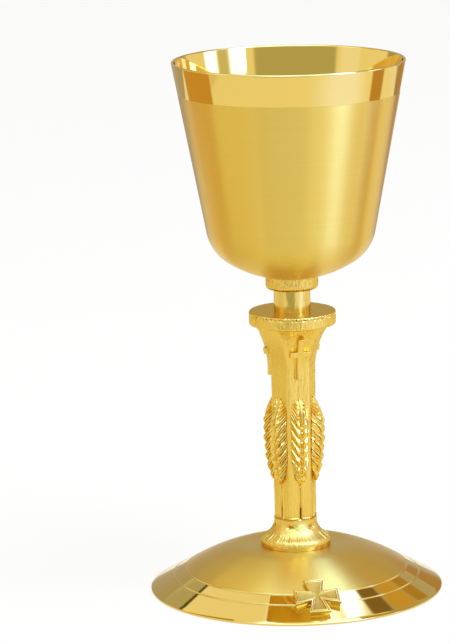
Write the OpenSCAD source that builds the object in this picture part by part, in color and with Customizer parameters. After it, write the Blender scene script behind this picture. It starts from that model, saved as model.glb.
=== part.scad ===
// Gilt chalice: a tapered cup, a cast six-sided stem with wheat ears and crosses, and a domed base,
// clamped together by one tie rod. Millimetres, +Z up, origin at the centre of the base's rest plane.

/* [Cup] */
// Diameter of the mouth, outside
cup_mouth_d = 100; // [92:1:112]
// Height of the straight tapered wall
cup_wall_h = 73.1; // [60:0.1:90]
// Lean of the wall from upright, degrees
cup_taper = 10.6; // [6:0.1:13]
// Radius of the knuckle between wall and bottom
cup_knuckle_r = 19.4; // [12:0.1:24]
// Radius of the domed bottom
cup_bottom_r = 51.7; // [46:0.1:80]
// Thickness of the sheet
cup_t = 1.2; // [0.8:0.1:2]

/* [Collar, sleeve and knop] */
// Diameter of the ring under the cup
collar_d = 22.9; // [20:0.1:30]
// Height of the ring under the cup
collar_h = 5.8; // [5:0.1:9]
// Rounding of the ring's lower edge
collar_round = 1.8; // [0.5:0.1:2]
// Diameter of the sleeve between ring and knop
neck_d = 15.8; // [14.5:0.1:18]
// Height of the sleeve
neck_h = 9.6; // [6:0.1:16]
// Diameter of the knop
knop_d = 37.7; // [34:0.1:46]
// Height of the knop
knop_h = 5.9; // [4:0.1:9]
// Rounding of the knop's edges
knop_round = 0.9; // [0.3:0.1:1.6]

/* [Stem] */
// Width of the shaft across its flats, below the capital
shaft_top_w = 17.6; // [16:0.1:20]
// Width of the shaft across its flats, above the foot
shaft_low_w = 16.5; // [15:0.1:19]
// How far the rounded corners stand out past the flats
corner_out = 1.0; // [0.7:0.05:1.2]
// Height of the straight shaft
shaft_h = 65.5; // [58:0.5:80]
// Height of the flared capital
capital_h = 20.6; // [19:0.1:26]
// Radius of the capital's flare
capital_r = 35; // [28:0.5:50]
// Diameter of the trumpet foot
foot_d = 30.2; // [27:0.1:38]
// Diameter of the trumpet foot at its neck
foot_neck_d = 18.8; // [17:0.1:20]
// Height of the foot's straight neck
foot_neck_h = 0.8; // [0.4:0.1:1.6]
// Height of the trumpet foot
foot_h = 12.2; // [10.5:0.1:16]
// Height of the foot's upright edge
foot_edge_h = 1.9; // [1:0.1:3]
// Radius of the foot's hollow flare
foot_flare_r = 7.8; // [5:0.1:8]
// Depth of the stalk groove on each flat
stalk_depth = 0.6; // [0.3:0.05:1]
// Turn of the stem against the base cross, degrees
stem_turn = 6.5; // [-15:0.5:15]

/* [Wheat ears] */
// Greatest width of an ear
ear_w = 7.4; // [6:0.1:8]
// Greatest height of an ear above its flat
ear_h = 4.8; // [3:0.1:6]
// Length of bare stalk below an ear
ear_rise = 14; // [10:0.5:18]
// Bare length between an ear's tip and the capital
ear_gap = 11; // [7:0.5:14]
// Spacing of the grains along an ear
grain_pitch = 3.9; // [3:0.1:5]
// Depth of the cleft between two grains, as a share of the ear's height there
grain_cleft = 0.2; // [0.05:0.01:0.3]
// Lean of the grains from level, degrees
grain_lean = 45; // [30:1:55]

/* [Stem crosses] */
// Height of a stem cross
cross_h = 18.6; // [14:0.1:20]
// Span of its arms
cross_span = 9.3; // [7:0.1:10]
// Width of its bars
cross_bar = 2.7; // [1.5:0.1:3.5]
// Distance from its top to the middle of its arms
cross_arm_drop = 7.3; // [4:0.1:9]
// Height of its relief
cross_relief = 2.4; // [1:0.1:3]
// Distance of its foot below the capital
cross_drop = 2.5; // [0:0.1:4]

/* [Base] */
// Diameter of the base
base_d = 127.3; // [116:0.1:150]
// Thickness of the sheet
base_t = 1.2; // [0.8:0.1:1.8]
// Height of the upright edge
edge_h = 0.9; // [0.5:0.1:2]
// Width of the rest face under the edge
rest_w = 1.6; // [1.2:0.1:3]
// Slope of the polished band, degrees
band_slope = 28; // [22:0.5:31]
// Distance from the edge in to the lower engraved line
line_low_in = 10.05; // [7:0.05:13]
// Distance from the edge in to the upper engraved line
line_high_in = 15.45; // [14:0.05:19]
// Width of an engraved line
line_w = 0.7; // [0.3:0.05:1]
// Depth of an engraved line
line_depth = 0.3; // [0.1:0.05:0.5]
// Slope of the dome where it leaves the upper line, degrees
dome_slope = 31; // [30:0.5:36]
// Radius of the dome
dome_r = 86; // [75:0.5:110]
// Radius of the blend from the dome to the flat seat
seat_blend_r = 21; // [12:0.5:30]
// Diameter of the flat seat under the stem
seat_d = 44; // [40:0.5:48]

/* [Base cross] */
// Distance of the cross's middle from the edge of the base, measured level
pattee_in = 12.7; // [12:0.1:16]
// Half the span of the cross
pattee_reach = 9.7; // [8:0.1:11]
// Width of an arm at its root
pattee_root = 5.6; // [4.5:0.1:7]
// Width of an arm at its end
pattee_end = 9.3; // [7.5:0.1:10.5]
// Height of the cross above the slope
pattee_h = 2.5; // [1.8:0.1:3.2]
// Width of the raised border
pattee_border = 1.1; // [0.6:0.1:1.4]
// Depth of the sunk field
pattee_sink = 0.5; // [0.2:0.05:0.8]
// Step between the cross's upper and lower plates
pattee_step = 0.3; // [0.1:0.05:0.5]
// Diameter of the fixing peg
peg_d = 3; // [2:0.1:4]

/* [Fixing] */
// Diameter of the tie rod
rod_d = 6; // [5:0.5:7]
// Diameter of the tapped boss under the cup
boss_d = 12; // [10.5:0.1:13]
// Diameter of the washer
washer_d = 20; // [16:0.5:26]
// Thickness of the washer
washer_h = 1.6; // [1:0.1:2]
// Width of the nut across its flats
nut_w = 10; // [9.5:0.5:13]
// Height of the nut
nut_h = 5; // [4:0.1:6]
// Length of rod left below the nut
rod_tail = 2; // [1:0.1:3]
// Radial play of the rod in plain holes
rod_play = 0.3; // [0.15:0.05:0.4]
// Radial play in threads and round the peg
thread_play = 0.05; // [0.02:0.01:0.1]
// Play between the boss and what is around and under it
boss_play = 0.3; // [0.1:0.05:0.4]

/* [Hidden] */
$fn = 96;
arc_steps = 14;
facets = 6;
eps = 0.01;

satin_gold = "#d8b24a";
cast_gold = "#e2b53c";
polished_gold = "#e8c257";
plain_brass = "#b8933a";

// Radii that several pieces share
hole_r = rod_d / 2 + rod_play;
tapped_r = rod_d / 2 + thread_play;
base_r = base_d / 2;
seat_r = seat_d / 2;

// Outline of the base, from its edge up to the seat
function band_z(r) = edge_h + (base_r - r) * tan(band_slope);
line_low_r = base_r - line_low_in;
line_high_r = base_r - line_high_in;
line_high_z = band_z(line_high_r);
dome_mid = [line_high_r - dome_r * sin(dome_slope), line_high_z - dome_r * cos(dome_slope)];
blend_slope = asin((seat_r - dome_mid[0]) / (dome_r - seat_blend_r));
blend_mid = [seat_r, dome_mid[1] + (dome_r - seat_blend_r) * cos(blend_slope)];
seat_z = blend_mid[1] + seat_blend_r;

// Heights of the stack on the tie rod
panel_z = seat_z + foot_h;
capital_z = panel_z + shaft_h;
stem_top = capital_z + capital_h;
knop_top = stem_top + knop_h;
neck_top = knop_top + neck_h;
cup_seat_z = neck_top + collar_h;
washer_top = seat_z - base_t;
nut_top = washer_top - washer_h;
rod_end = nut_top - nut_h - rod_tail;
boss_floor = 0.6;

// Outline of the cup, measured from the lower end of its straight wall
cup_mouth_r = cup_mouth_d / 2;
cup_seat_margin = 0.55;
cup_seat_r = collar_d / 2 + cup_seat_margin;
wall_foot_r = cup_mouth_r - cup_wall_h * tan(cup_taper);
knuckle_mid = [wall_foot_r - cup_knuckle_r * cos(cup_taper), cup_knuckle_r * sin(cup_taper)];
bottom_mid = knuckle_mid[1] + sqrt(pow(cup_bottom_r - cup_knuckle_r, 2) - pow(knuckle_mid[0], 2));
knuckle_end = atan2(knuckle_mid[1] - bottom_mid, knuckle_mid[0]);
cup_seat_local = bottom_mid - sqrt(pow(cup_bottom_r, 2) - pow(cup_seat_r, 2));
cup_floor_local = cup_seat_local + cup_t;
cup_floor_r = sqrt(pow(cup_bottom_r - cup_t, 2) - pow(bottom_mid - cup_floor_local, 2));
wall_foot_z = cup_seat_z - cup_seat_local;

// Points along an arc, from one angle to another
function arc(mid, r, from, to) =
    [for (i = [0:arc_steps]) let (a = from + (to - from) * i / arc_steps) mid + r * [cos(a), sin(a)]];
// Points along an arc given by its slope from level, as on the crown of a dome
function crown(mid, r, from, to) =
    [for (i = [0:arc_steps]) let (a = from + (to - from) * i / arc_steps) mid + r * [sin(a), cos(a)]];
function reversed(list) = [for (i = [len(list) - 1:-1:0]) list[i]];

module cup() {
    wall_dir = [sin(cup_taper), cos(cup_taper)];
    wall_out = [cos(cup_taper), -sin(cup_taper)];
    lip_mid = [cup_mouth_r, cup_wall_h] - wall_out * cup_t / 2;
    outside = concat(
        [[0, cup_seat_local]],
        arc([0, bottom_mid], cup_bottom_r, -acos(cup_seat_r / cup_bottom_r), knuckle_end),
        arc(knuckle_mid, cup_knuckle_r, knuckle_end, -cup_taper)
    );
    lip = arc(lip_mid, cup_t / 2, -cup_taper, 180 - cup_taper);
    inside = concat(
        arc(knuckle_mid, cup_knuckle_r - cup_t, -cup_taper, knuckle_end),
        arc([0, bottom_mid], cup_bottom_r - cup_t, knuckle_end, -acos(cup_floor_r / (cup_bottom_r - cup_t))),
        [[0, cup_floor_local]]
    );
    color(satin_gold)
        translate([0, 0, wall_foot_z])
            rotate_extrude() polygon(concat(outside, lip, inside));
}

module cup_boss() {
    boss_h = collar_h - boss_play;
    color(plain_brass)
        translate([0, 0, cup_seat_z - boss_h])
            difference() {
                cylinder(h = boss_h, d = boss_d);
                translate([0, 0, -eps]) cylinder(h = boss_h - boss_floor + eps, r = tapped_r);
            }
}

module upper_collar() {
    bore_r = boss_d / 2 + boss_play;
    rim_r = collar_d / 2;
    color(cast_gold)
        translate([0, 0, neck_top])
            rotate_extrude()
                polygon(concat(
                    [[bore_r, 0]],
                    arc([rim_r - collar_round, collar_round], collar_round, -90, 0),
                    [[rim_r, collar_h], [bore_r, collar_h]]
                ));
}

module neck_sleeve() {
    color(polished_gold)
        translate([0, 0, knop_top])
            difference() {
                cylinder(h = neck_h, d = neck_d);
                translate([0, 0, -eps]) cylinder(h = neck_h + 2 * eps, r = hole_r);
            }
}

module knop_disc() {
    rim_r = knop_d / 2;
    round_mid_r = rim_r - knop_round;
    color(cast_gold)
        translate([0, 0, stem_top])
            rotate_extrude()
                polygon(concat(
                    [[hole_r, 0]],
                    arc([round_mid_r, knop_round], knop_round, -90, 0),
                    arc([round_mid_r, knop_h - knop_round], knop_round, 0, 90),
                    [[hole_r, knop_h]]
                ));
}

// Line of a flat from the foot to the knop: distance from the axis, height
function flat_x(z) = (shaft_low_w + (shaft_top_w - shaft_low_w) * (z - panel_z) / shaft_h) / 2;
function flare_point(t) =
    let (rise = capital_h * min(1, t))
        [shaft_top_w / 2 + capital_r - sqrt(capital_r * capital_r - rise * rise), capital_z + rise];
flat_line = concat([[shaft_low_w / 2, panel_z]], [for (i = [0:arc_steps]) flare_point(i / arc_steps)]);
// Line of a corner, with its joints half a step away from those of the flats
corner_line = [for (p = concat([flat_line[0]], [for (i = [0:arc_steps]) flare_point((i + 0.5) / arc_steps)]))
    p + [corner_out, 0]];
function facet_turn(i) = stem_turn + (i - 1) * 360 / facets;

// The flared shaft: three pairs of flats, with corners rounded by a turned outline
module shaft() {
    slab = concat(flat_line, [for (p = reversed(flat_line)) [-p[0], p[1]]]);
    intersection() {
        intersection_for(i = [1:facets / 2])
            rotate([0, 0, facet_turn(i) + 90])
                rotate([90, 0, 0])
                    linear_extrude(height = 4 * knop_d, center = true) polygon(slab);
        rotate_extrude() polygon(concat([[0, panel_z]], corner_line, [[0, stem_top]]));
    }
}

// The turned foot, hollow under its neck and rounded over to its edge
module trumpet_foot() {
    top = [foot_neck_d / 2, panel_z - foot_neck_h];
    low = [foot_d / 2, seat_z + foot_edge_h];
    sweep = 2 * atan((low[0] - top[0]) / (top[1] - low[1]));
    round_r = (top[1] - low[1]) / sin(sweep) - foot_flare_r;
    rotate_extrude()
        polygon(concat(
            [[0, seat_z], [low[0], seat_z]],
            arc(low - [round_r, 0], round_r, 0, sweep),
            arc(top + [foot_flare_r, 0], foot_flare_r, 180 + sweep, 180),
            [[top[0], panel_z], [0, panel_z]]
        ));
}

module stem_column() {
    core_r = shaft_low_w / 2 - 2 * stalk_depth;
    color(cast_gold)
        difference() {
            union() {
                shaft();
                trumpet_foot();
                translate([0, 0, seat_z]) cylinder(h = foot_h + ear_rise, r = core_r);
            }
            translate([0, 0, seat_z - eps]) cylinder(h = stem_top - seat_z + 2 * eps, r = hole_r);
            for (i = [1:facets])
                rotate([0, 0, facet_turn(i)])
                    translate([0, -flat_x(panel_z), panel_z - eps])
                        rotate([0, 0, 45])
                            translate([-1, -1, 0] * stalk_depth / sqrt(2))
                                cube([stalk_depth * sqrt(2), stalk_depth * sqrt(2), ear_rise]);
        }
}

// Shape of an ear along its length, from 0 at its root to 1 at its tip
ear_peak = 0.75;
ear_fall = 0.25;
root_share = 0.05;
function ear_swell(t) =
    t < ear_peak ? pow(sin(90 * t / ear_peak), 0.45) : 1 - pow((t - ear_peak) / ear_fall, 1.4);
function ear_lift(t) = t < 1 ? ear_h * ear_swell(t) : 0;
function ear_half(t) = ear_w / 2 * sqrt(root_share + (1 - root_share) * ear_swell(t));

// Shape of an ear across its width: a crown with a crease between the two rows of grains
ear_columns = [-1, -0.85, -0.55, -0.22, 0, 0.22, 0.55, 0.85, 1];
crease = 0.07;
function ear_crown(v) = sqrt(1 - pow(abs(v), 3)) - (v == 0 ? crease : 0);

// Each grain swells upwards out of the cleft below it and ends in a sharp edge over the next
grain_rows = [[0, 1 - grain_cleft], [0.45, 0.94], [0.82, 1]];

module ear_solid() {
    root_z = panel_z + ear_rise;
    length = shaft_h - ear_rise - ear_gap;
    grains = round(length / grain_pitch);
    rows = concat(
        [for (g = [0:grains - 1], row = grain_rows) [(g + row[0]) / grains, row[1]]],
        [[1, 1]]
    );
    across = len(ear_columns);
    points = [for (row = rows, v = ear_columns)
        let (x = ear_half(row[0]) * v, z = root_z + row[0] * length + abs(x) * tan(grain_lean))
            [x, -flat_x(z) - ear_lift(row[0]) * ear_crown(v) * row[1], z]];
    last = len(rows) - 1;
    skin = [for (i = [0:last - 1], j = [0:across - 2], half = [0, 1])
        let (p = i * across + j)
            half == 0 ? [p, p + across, p + across + 1] : [p, p + across + 1, p + 1]];
    back = concat(
        [for (j = [0:across - 1]) j],
        [for (i = [1:last]) i * across + across - 1],
        [for (j = [across - 2:-1:0]) last * across + j],
        [for (i = [last - 1:-1:1]) i * across]
    );
    polyhedron(points, concat(skin, [back]));
}

module wheat_ear(i) {
    color(cast_gold) rotate([0, 0, facet_turn(i)]) ear_solid();
}

// A Latin cross that follows the curve of its flat
module stem_cross(i) {
    foot_z = capital_z - cross_drop;
    arm_z = foot_z + cross_h - cross_arm_drop;
    plate = concat(
        [for (p = flat_line) [-p[0], p[1]]],
        [for (p = reversed(flat_line)) [-p[0] - cross_relief, p[1]]]
    );
    color(cast_gold)
        rotate([0, 0, facet_turn(2 * i - 1)])
            intersection() {
                rotate([90, 0, 90]) linear_extrude(height = 2 * cross_span, center = true) polygon(plate);
                rotate([90, 0, 0])
                    linear_extrude(height = knop_d) {
                        translate([-cross_bar / 2, foot_z]) square([cross_bar, cross_h]);
                        translate([-cross_span / 2, arm_z - cross_bar / 2]) square([cross_span, cross_bar]);
                    }
            }
}

// Outer line of the base, from the edge to the seat
dome_line = concat(
    crown(dome_mid, dome_r, dome_slope, blend_slope),
    crown(blend_mid, seat_blend_r, blend_slope, 0)
);

// A notch cut square to the slope of the polished band
function notch(r) =
    let (at = [r, band_z(r)], along = [-cos(band_slope), sin(band_slope)], up = [sin(band_slope), cos(band_slope)])
        [at - along * line_w / 2, at - up * line_depth, at + along * line_w / 2];

// Frame on the slope of the band, at the middle of the base cross
module on_band() {
    r = base_r - pattee_in;
    translate([0, -r, band_z(r)]) rotate([band_slope, 0, 0]) children();
}

module base_dome() {
    drop = base_t / cos(band_slope);
    inner_edge = base_r - rest_w;
    outside = concat(
        [[base_r, 0], [base_r, edge_h]],
        notch(line_low_r),
        notch(line_high_r),
        [for (p = dome_line) if (p[0] < line_high_r - line_w) p],
        [[hole_r, seat_z]]
    );
    inside = concat(
        [[hole_r, seat_z - base_t]],
        crown(blend_mid, seat_blend_r - base_t, 0, blend_slope),
        crown(dome_mid, dome_r - base_t, blend_slope, dome_slope),
        [[inner_edge, band_z(inner_edge) - drop], [inner_edge, 0]]
    );
    color(satin_gold)
        difference() {
            rotate_extrude() polygon(concat(outside, inside));
            on_band() translate([0, 0, -pattee_h]) cylinder(h = 2 * pattee_h, r = peg_d / 2 + thread_play);
        }
}

// One arm of the base cross, pointing up the slope, with its outline drawn in by inset
module flared_arm(inset) {
    root = pattee_root / 2 - inset;
    end = pattee_end / 2 - inset;
    reach = pattee_reach - inset;
    polygon([[-root, 0], [root, 0], [root, root], [end, reach], [-end, reach], [-root, root]]);
}

module flared_cross(inset) {
    for (a = [0:90:270])
        rotate(a) flared_arm(inset);
}

module base_cross() {
    half_h = pattee_h / 2;
    peg_end = base_t + pattee_sink;
    color(polished_gold) {
        difference() {
            on_band()
                difference() {
                    union() {
                        translate([0, 0, -pattee_h]) linear_extrude(height = 3 * half_h) flared_cross(pattee_step);
                        translate([0, 0, half_h]) linear_extrude(height = half_h) flared_cross(0);
                    }
                    translate([0, 0, pattee_h - pattee_sink])
                        linear_extrude(height = pattee_h) flared_cross(pattee_border);
                }
            rotate_extrude()
                polygon(concat(
                    [[0, -pattee_h], [base_r, -pattee_h], [base_r, edge_h], [line_high_r, line_high_z]],
                    [for (p = dome_line) if (p[0] < line_high_r - line_w) p],
                    [[0, seat_z]]
                ));
        }
        on_band() translate([0, 0, -peg_end]) cylinder(h = peg_end + half_h, d = peg_d);
    }
}

module tie_rod() {
    rod_top = cup_seat_z - boss_floor - thread_play;
    color(plain_brass)
        translate([0, 0, rod_end]) cylinder(h = rod_top - rod_end, d = rod_d);
}

module base_washer() {
    color(plain_brass)
        translate([0, 0, nut_top])
            difference() {
                cylinder(h = washer_h, d = washer_d);
                translate([0, 0, -eps]) cylinder(h = washer_h + 2 * eps, r = hole_r);
            }
}

module base_nut() {
    color(plain_brass)
        translate([0, 0, nut_top - nut_h])
            difference() {
                cylinder(h = nut_h, d = nut_w / cos(30), $fn = 6);
                translate([0, 0, -eps]) cylinder(h = nut_h + 2 * eps, r = tapped_r);
            }
}

cup();
cup_boss();
upper_collar();
neck_sleeve();
knop_disc();
stem_column();
for (i = [1:facets])
    wheat_ear(i);
for (i = [1:facets / 2])
    stem_cross(i);
base_dome();
base_cross();
tie_rod();
base_washer();
base_nut();
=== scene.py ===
from math import (acos, asin, atan, atan2, copysign, cos, degrees, dist, exp, hypot,
                  log, pi, radians, sin, sqrt, tan, tau)

import bpy
from mathutils import Matrix, Vector, noise


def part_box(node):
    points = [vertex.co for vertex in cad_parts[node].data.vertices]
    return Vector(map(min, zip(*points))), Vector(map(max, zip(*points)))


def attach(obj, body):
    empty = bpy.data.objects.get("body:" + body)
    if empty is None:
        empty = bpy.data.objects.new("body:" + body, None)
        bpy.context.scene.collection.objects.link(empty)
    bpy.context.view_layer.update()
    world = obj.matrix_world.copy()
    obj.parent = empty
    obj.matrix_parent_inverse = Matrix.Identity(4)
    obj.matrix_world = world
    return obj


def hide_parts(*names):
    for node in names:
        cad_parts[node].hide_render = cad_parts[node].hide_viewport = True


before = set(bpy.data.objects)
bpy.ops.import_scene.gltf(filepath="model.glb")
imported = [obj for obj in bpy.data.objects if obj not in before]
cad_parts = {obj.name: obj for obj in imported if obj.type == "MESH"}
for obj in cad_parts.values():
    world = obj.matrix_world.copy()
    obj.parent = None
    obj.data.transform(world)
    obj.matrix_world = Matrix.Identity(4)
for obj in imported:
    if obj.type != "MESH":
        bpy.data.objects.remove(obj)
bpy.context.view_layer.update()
mm = 0.001
print("frame loaded,", len(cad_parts), "nodes")


# small helpers

def clearSelection():
    if bpy.context.object and bpy.context.object.mode != 'OBJECT':
        bpy.ops.object.mode_set(mode='OBJECT')
    bpy.ops.object.select_all(action='DESELECT')


def editMesh():
    bpy.ops.object.mode_set(mode='EDIT')


def closeMesh():
    bpy.ops.object.mode_set(mode='OBJECT')


def pickAll():
    bpy.ops.mesh.select_all(action='SELECT')


def takeUp(piece):
    clearSelection()
    piece.select_set(True)
    bpy.context.view_layer.objects.active = piece


def nameActive(name):
    piece = bpy.context.object
    piece.name = name
    piece.data.name = name
    return piece


def settle(piece):
    takeUp(piece)
    bpy.ops.object.transform_apply(location=True, rotation=True, scale=True)
    return piece


def dress(piece, kind, **settings):
    takeUp(piece)
    bpy.ops.object.modifier_add(type=kind)
    modifier = piece.modifiers[-1]
    for key, value in settings.items():
        setattr(modifier, key, value)
    bpy.ops.object.modifier_apply(modifier=modifier.name)


def bevel(piece, width, segments, angle):
    dress(piece, 'BEVEL', width=width * mm, segments=segments, limit_method='ANGLE',
          angle_limit=radians(angle))


def smooth(piece, angle):
    takeUp(piece)
    bpy.ops.object.shade_smooth_by_angle(angle=radians(angle))


def arcPoints(middle, radius, start, end, steps):
    turns = [radians(start + (end - start) * i / steps) for i in range(steps + 1)]
    return [(middle[0] + radius * cos(t), middle[1] + radius * sin(t)) for t in turns]


def linePoints(start, end, steps):
    return [(start[0] + (end[0] - start[0]) * i / steps, start[1] + (end[1] - start[1]) * i / steps)
            for i in range(steps + 1)]


def clean(outline):
    kept = [outline[0]]
    for point in outline[1:]:
        if dist(point, kept[-1]) > 0.001:
            kept.append(point)
    return kept


def turned(name, outline, steps):
    # a vertex drawn along the outline (radius, height in mm), then spun round the axis
    outline = clean(outline)
    clearSelection()
    bpy.ops.mesh.primitive_plane_add(size=mm)
    piece = nameActive(name)
    editMesh()
    bpy.ops.mesh.select_mode(type='VERT')
    pickAll()
    bpy.ops.mesh.merge(type='CENTER')
    bpy.ops.transform.translate(value=(outline[0][0] * mm, 0, outline[0][1] * mm))
    for here, there in zip(outline, outline[1:]):
        step = ((there[0] - here[0]) * mm, 0, (there[1] - here[1]) * mm)
        bpy.ops.mesh.extrude_vertices_move(TRANSFORM_OT_translate={"value": step})
    pickAll()
    bpy.ops.mesh.spin(steps=steps, angle=tau, center=(0, 0, 0), axis=(0, 0, 1))
    pickAll()
    bpy.ops.mesh.remove_doubles(threshold=0.002 * mm)
    bpy.ops.mesh.normals_make_consistent(inside=False)
    closeMesh()
    return piece


def tool(piece, height):
    # works the surface: every point goes in or out along its normal by height(point, normal), in mm
    normals = [v.normal.copy() for v in piece.data.vertices]
    for vertex, normal in zip(piece.data.vertices, normals):
        vertex.co += normal * height(vertex.co / mm, normal) * mm
    piece.data.update()


def cadCorners(node):
    # a node's lowest and highest corner, in mm
    return [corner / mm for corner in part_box(node)]


def reachOf(point):
    # distance from the axis
    return hypot(point.x, point.y)


def clamp(value, low=-1.0, high=1.0):
    return max(low, min(high, value))


def streak(point, across, along, shift=0.0):
    return noise.noise(Vector((point.x / across + shift, point.y / across, point.z / along)))


def cutMarks(point, strokes):
    return sum(weight * streak(point, across, along, shift) for across, along, shift, weight in strokes)


def ramp(value, low, high):
    share = clamp((value - low) / (high - low), 0.0)
    return share * share * (3 - 2 * share)


def paint(piece, covering, *finishes):
    # finishes: (material, test on a face's middle in mm and its normal), each over the ones before
    for material in [covering] + [material for material, _ in finishes]:
        piece.data.materials.append(material)
    for face in piece.data.polygons:
        face.material_index = 0
        for index, (_, belongs) in enumerate(finishes, 1):
            if belongs(face.center / mm, face.normal):
                face.material_index = index


def pickFaces(piece, belongs):
    # edit mode, with the faces selected whose middle (in mm) and normal pass the test
    closeMesh()
    for item in list(piece.data.vertices) + list(piece.data.edges):
        item.select = False
    for face in piece.data.polygons:
        face.select = belongs(face.center / mm, face.normal)
    editMesh()
    bpy.ops.mesh.select_mode(type='FACE')


def seat(piece, body, slot, *nodes):
    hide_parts(*nodes)
    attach(piece, body)


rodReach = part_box("tie_rod")[1].x / mm
rodBore = rodReach + 0.3  # the hole that the rod passes through in each piece


# camera, from the ellipses of the lip and the base edge

cameraSettings = dict(azimuth=-8.5, elevation=11.712, distance=1534.5, roll=-1.119,
                      aimSide=-29.1, aimHeight=118.2, lens=198.7)


def makeCamera(s):
    a, e, r = (radians(s[k]) for k in ("azimuth", "elevation", "roll"))
    back = Vector((sin(a) * cos(e), -cos(a) * cos(e), sin(e)))
    right = Vector((cos(a), sin(a), 0))
    up = back.cross(right)
    aim = right * s["aimSide"] * mm + Vector((0, 0, s["aimHeight"] * mm))
    rolledRight = right * cos(r) + up * sin(r)
    rolledUp = up * cos(r) - right * sin(r)
    turn = Matrix((rolledRight, rolledUp, back)).transposed().to_euler()
    bpy.ops.object.camera_add(location=aim + back * s["distance"] * mm, rotation=turn)
    camera = bpy.context.object
    camera.name = "photoCamera"
    camera.data.lens = s["lens"]
    camera.data.sensor_width = 36
    camera.data.clip_end = 50
    bpy.context.scene.camera = camera


clearSelection()
makeCamera(cameraSettings)
print("camera placed")


# finishes

goldTone = (0.82, 0.585, 0.14, 1)
satinTone = (0.84, 0.56, 0.09, 1)
castTone = (0.87, 0.6, 0.11, 1)
deepGoldTone = (0.74, 0.44, 0.06, 1)
brassTone = (0.66, 0.44, 0.14, 1)
edgeTone = (0.95, 0.85, 0.55, 1)
whiteTone = (1, 1, 1, 1)
fieldTones = ((0.52, 0.3, 0.036, 1), (0.66, 0.4, 0.06, 1))
# painted shade: the dark tones below colour the deep nicks, pits and clefts, standing in for the shade in
# them
paintedShadeTones = ((0.3, 0.17, 0.03, 1), (0.46, 0.28, 0.05, 1))
markRange = (0.3, 0.7)  # the part of the marks' noise that tones and roughness run over


def addNode(tree, kind, **settings):
    node = tree.nodes.new(kind)
    for key, value in settings.items():
        setattr(node, key, value)
    return node


def newMaterial(name):
    material = bpy.data.materials.new(name)
    material.use_nodes = True
    return material, material.node_tree


def preset(node, values):
    for socket, value in values.items():
        node.inputs[socket].default_value = value
    return node


def wire(source, output, target, socket):
    target.id_data.links.new(source.outputs[output], target.inputs[socket])


def newGroup(name, inputs, outputs):
    group = bpy.data.node_groups.new(name, 'ShaderNodeTree')
    for label, kind, start in inputs:
        socket = group.interface.new_socket(label, in_out='INPUT', socket_type=kind)
        if start is not None:
            socket.default_value = start
    for label in outputs:
        group.interface.new_socket(label, in_out='OUTPUT', socket_type='NodeSocketFloat')
    return group, addNode(group, 'NodeGroupInput'), addNode(group, 'NodeGroupOutput')


def stretchedNoise(tree, source, stretch, detail):
    stretched = addNode(tree, 'ShaderNodeVectorMath', operation='MULTIPLY')
    wire(source, 'Vector', stretched, 0)
    wire(source, stretch, stretched, 1)
    cloud = preset(addNode(tree, 'ShaderNodeTexNoise'), {'Scale': 1, 'Detail': detail})
    wire(stretched, 0, cloud, 'Vector')
    return cloud


def makeToolMarks():
    # marks left by a brush or a graver: long noise, fine across and drawn out along the stroke
    group, source, sink = newGroup(
        "toolMarks",
        [("Vector", 'NodeSocketVector', None), ("Stretch", 'NodeSocketVector', (1, 1, 1)),
         ("Coarse Stretch", 'NodeSocketVector', (1, 1, 1))],
        ["Fine", "Coarse"])
    wire(stretchedNoise(group, source, 'Stretch', 3), 'Fac', sink, 'Fine')
    wire(stretchedNoise(group, source, 'Coarse Stretch', 2), 'Fac', sink, 'Coarse')
    return group


toolMarks = makeToolMarks()


def shades(tone, share):
    # the tone drawn part of the way to the deep gold, and the tone itself
    return tuple(a + (b - a) * share for a, b in zip(tone, deepGoldTone)), tone


def goldFinish(name, tones, roughness, marks, coarse, bump, edge=edgeTone, anisotropic=0.0):
    # tones and roughness are (low, high) pairs that the marks run between
    # marks and coarse are counts per metre, (across, along) the axis; bump is in mm
    material, tree = newMaterial(name)
    shader = preset(tree.nodes["Principled BSDF"], {'Metallic': 1, 'Specular Tint': edge})
    place = addNode(tree, 'ShaderNodeTexCoord')
    strokes = addNode(tree, 'ShaderNodeGroup', node_tree=toolMarks)
    preset(strokes, {'Stretch': (marks[0], *marks), 'Coarse Stretch': (coarse[0], *coarse)})
    wire(place, 'Object', strokes, 'Vector')
    both = preset(addNode(tree, 'ShaderNodeMix', data_type='FLOAT'), {'Factor': 0.5})
    wire(strokes, 'Fine', both, 2)
    wire(strokes, 'Coarse', both, 3)
    colour = addNode(tree, 'ShaderNodeValToRGB')
    for stop, position, tone in zip(colour.color_ramp.elements, markRange, tones):
        stop.position = position
        stop.color = tone
    wire(both, 0, colour, 'Fac')
    wire(colour, 'Color', shader, 'Base Color')
    rough = addNode(tree, 'ShaderNodeMapRange')
    preset(rough, {'From Min': markRange[0], 'From Max': markRange[1],
                   'To Min': roughness[0], 'To Max': roughness[1]})
    wire(both, 0, rough, 'Value')
    wire(rough, 0, shader, 'Roughness')
    relief = preset(addNode(tree, 'ShaderNodeBump'), {'Strength': 1, 'Distance': bump * mm})
    wire(strokes, 'Fine', relief, 'Height')
    wire(relief, 'Normal', shader, 'Normal')
    if anisotropic:
        preset(shader, {'Anisotropic': anisotropic, 'Anisotropic Rotation': 0.25})
        turning = addNode(tree, 'ShaderNodeTangent', direction_type='RADIAL', axis='Z')
        wire(turning, 'Tangent', shader, 'Tangent')
    return material


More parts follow.
